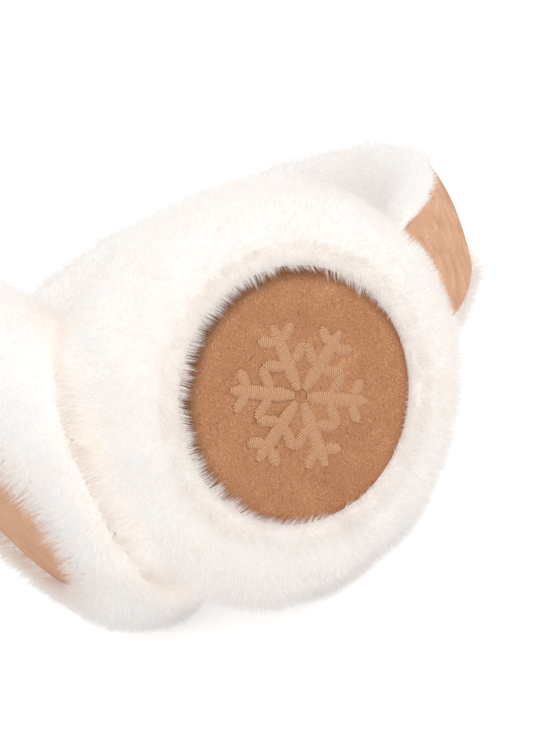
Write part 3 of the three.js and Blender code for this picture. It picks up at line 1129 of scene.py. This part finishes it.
@dataclass
class SuedeBand:
    """The headband's outer strip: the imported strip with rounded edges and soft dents."""

    edge_round: float = 0.5 * MM
    dent: float = 0.45 * MM
    dent_size: float = 14 * MM

    def piece(self, finish: bpy.types.Material) -> bpy.types.Object:
        """Makes the strip."""
        body = merged_copy("band_suede")
        bmesh.ops.join_triangles(
            body, faces=body.faces, angle_face_threshold=math.radians(40), angle_shape_threshold=math.pi
        )
        sharp = [e for e in body.edges if len(e.link_faces) == 2 and e.calc_face_angle() > math.radians(50)]
        bmesh.ops.bevel(
            body, geom=sharp, offset=self.edge_round, affect="EDGES", segments=2, profile=0.5, material=-1
        )
        mesh = finished(mesh_of(body, "band_strip_cage"), "SUBSURF", levels=2, render_levels=2)
        mesh.name = "band_strip"
        body = bmesh.new()
        body.from_mesh(mesh)
        body.normal_update()
        moves = [noise.noise(v.co / self.dent_size) * self.dent for v in body.verts]
        for vert, move in zip(body.verts, moves):
            vert.co += vert.normal * move
            vert.co.z = max(vert.co.z, 0.0)
        body.to_mesh(mesh)
        body.free()
        mesh.shade_smooth()
        give(mesh, "shade", np.zeros(len(mesh.vertices)))
        give_places(mesh, "nap", places_of(mesh))
        return dressed(piece_of(mesh, finish), Slot.BAND_SUEDE, "band_suede")


@dataclass
class BandLining:
    """The shearling lining inside the headband, whose panels show no joint."""

    panels: tuple[str, ...] = ("band_fur_right", "band_fur_crown", "band_fur_left")
    seed: int = 71
    count: int = 62000
    pile: Pile = field(default_factory=lambda: Pile(length=3.2 * MM))

    def underwool(self, finish: bpy.types.Material) -> bpy.types.Object:
        """Makes the underwool piece."""
        mesh = FurBody(self.panels, "band_underwool", sink=0.6 * MM).mesh(None)
        give(mesh, "along", np.full(len(mesh.vertices), 0.35))
        give(mesh, "tone", np.full(len(mesh.vertices), 0.5))
        piece = dressed(piece_of(mesh, finish), Slot.SHEARLING, *self.panels)
        return piece

    def pile_pieces(
        self, skin_piece: bpy.types.Object, finish: bpy.types.Material, strip: BVHTree, soft: list[BVHTree]
    ) -> list[bpy.types.Object]:
        """Grows the pile in a right and a left piece.

        Args:
            skin_piece: The underwool.
            finish: The shearling.
            strip: The suede, which the fibres stay out of.
            soft: What their tips may reach into.

        Returns:
            The pieces.
        """
        skin = Skin(skin_piece.data)
        bury(skin_piece, soft, Grower.mingle_reach)
        pieces = []
        for number, (part, sign) in enumerate((("right", 1), ("left", -1))):
            grower = Grower(self.pile, self.seed + number, [strip], soft, strip)
            wanted = (skin.centres[:, 0] * sign > 0).astype(float)
            strands = grower.grow(skin, scaled(self.count // 2), wanted, None, None)
            mesh = strands.mesh(f"band_pile_{part}", False, grower.dice)
            pieces.append(dressed(piece_of(mesh, finish), Slot.SHEARLING, *self.panels))
        return pieces


# Studio


@dataclass(frozen=True)
class Studio:
    """The camera, the lights and the floor."""

    aim: Vector = Vector((32.6, -40.5, 52.2)) * MM
    distance: float = 800 * MM
    azimuth: float = 23.835
    elevation: float = 29.215
    roll: float = -28.891
    lens: float = 146.59
    film: float = 36.0

    def camera(self) -> None:
        """Makes the camera at the photograph's angle."""
        turn = (
            Matrix.Rotation(math.radians(self.azimuth), 4, "Z")
            @ Matrix.Rotation(math.radians(90 - self.elevation), 4, "X")
            @ Matrix.Rotation(math.radians(self.roll), 4, "Z")
        )
        lens = bpy.data.cameras.new("camera")
        lens.lens = self.lens
        lens.sensor_width = self.film
        lens.clip_start = 0.05
        camera = bpy.data.objects.new("camera", lens)
        camera.matrix_world = Matrix.Translation(self.aim) @ turn @ Matrix.Translation((0, 0, self.distance))
        bpy.context.scene.collection.objects.link(camera)
        bpy.context.scene.camera = camera

    def area_light(self, name: str, place: Vector, size: float, power: float, colour: str) -> None:
        """Adds a soft square light that faces the object."""
        light = bpy.data.lights.new(name, "AREA")
        light.size = size
        light.energy = power
        light.color = linear(colour)[:3]
        lamp = bpy.data.objects.new(name, light)
        turn = (self.aim - place).to_track_quat("-Z", "Y").to_matrix().to_4x4()
        lamp.matrix_world = Matrix.Translation(place) @ turn
        bpy.context.scene.collection.objects.link(lamp)

    def lights(self) -> None:
        """Lights the object from its upper left, with a bright room around."""
        self.area_light("key", Vector((-0.55, -0.75, 1.05)), 0.9, 2.2, "#fdfeff")
        self.area_light("fill", Vector((0.9, -0.3, 0.8)), 1.2, 4.8, "#fffaf6")
        world = bpy.data.worlds.new("room")
        world.use_nodes = True
        world.node_tree.nodes["Background"].inputs["Color"].default_value = (0.985, 0.985, 1, 1)
        world.node_tree.nodes["Background"].inputs["Strength"].default_value = 0.785
        bpy.context.scene.world = world
        bpy.context.scene.view_settings.view_transform = "Standard"
        bpy.context.scene.cycles.diffuse_bounces = 12
        bpy.context.scene.cycles.max_bounces = 16

    def floor(self) -> None:
        """Lays the floor."""
        body = bmesh.new()
        bmesh.ops.create_grid(body, x_segments=1, y_segments=1, size=12)
        bmesh.ops.translate(body, verts=body.verts, vec=(0, 0, -0.1 * MM))
        floor = piece_of(mesh_of(body, "floor"), FloorFinish("floor_white").build())


def main() -> None:
    """Builds the studio and every piece of the earmuffs."""
    logging.basicConfig(level=logging.INFO, format="%(name)s %(message)s", stream=sys.stdout)
    noise.seed_set(NOISE_SEED)
    studio = Studio()
    studio.camera()
    studio.lights()
    studio.floor()

    shearling = ShearlingFinish("shearling_pile").build()
    disc_suedes = {
        "right": SuedeFinish("chestnut_suede", "#5a3b26", "#9c6a4a", "#ba835e", "#d6a27c").build(),
        # The left disc's suede is a lighter copy of the chestnut suede, with painted light for the far disc.
        "left": SuedeFinish("painted_lit_chestnut_suede", "#8a6349", "#be8c69", "#daa988", "#f0c8a8").build(),
    }
    band_suede = SuedeFinish(
        "pale_chestnut_suede", "#966a4c", "#bb8664", "#dcab89", "#f5cbb0", patch_size=7 * MM, patch_share=0.42
    ).build()
    thread = ThreadFinish("tan_thread", "#deab83", "#bb875f").build()

    places = {side: CupPlace(side) for side in ("right", "left")}
    turns = {"right": -62.0, "left": 70.0}
    # The side of each disc where its painted shade is strongest, where the fringe's shadow falls.
    shade_turns = {"right": -24.0, "left": 70.0}
    discs = {}
    for side, place in places.items():
        disc = SuedeDisc(place, shade_turns[side])
        discs[side] = disc.piece(disc_suedes[side])
        if side == "right":
            SnowflakeStitching(disc).piece(thread)
    strip = SuedeBand().piece(band_suede)

    cups = {
        "right": ShearlingCup(places["right"], 31, 46000, 32000, Fringe(turns["right"])),
        "left": ShearlingCup(places["left"], 41, 38000, 32000, Fringe(turns["left"], overhang=1.3, spread=150, lift=0.9, fullness=2.1)),
    }
    lining = BandLining()
    skins = {side: cup.underwool(shearling) for side, cup in cups.items()}
    skins["band"] = lining.underwool(shearling)
    trees = {name: tree_of(skin.data) for name, skin in skins.items()}
    hard = [tree_of(piece.data) for piece in (*discs.values(), strip)]
    for side, cup in cups.items():
        soft = [tree for name, tree in trees.items() if name != side]
        cup.pile_pieces(skins[side], shearling, hard, soft)
    lining.pile_pieces(skins["band"], shearling, hard[-1], [trees["right"], trees["left"]])


if __name__ == "__main__":
    main()
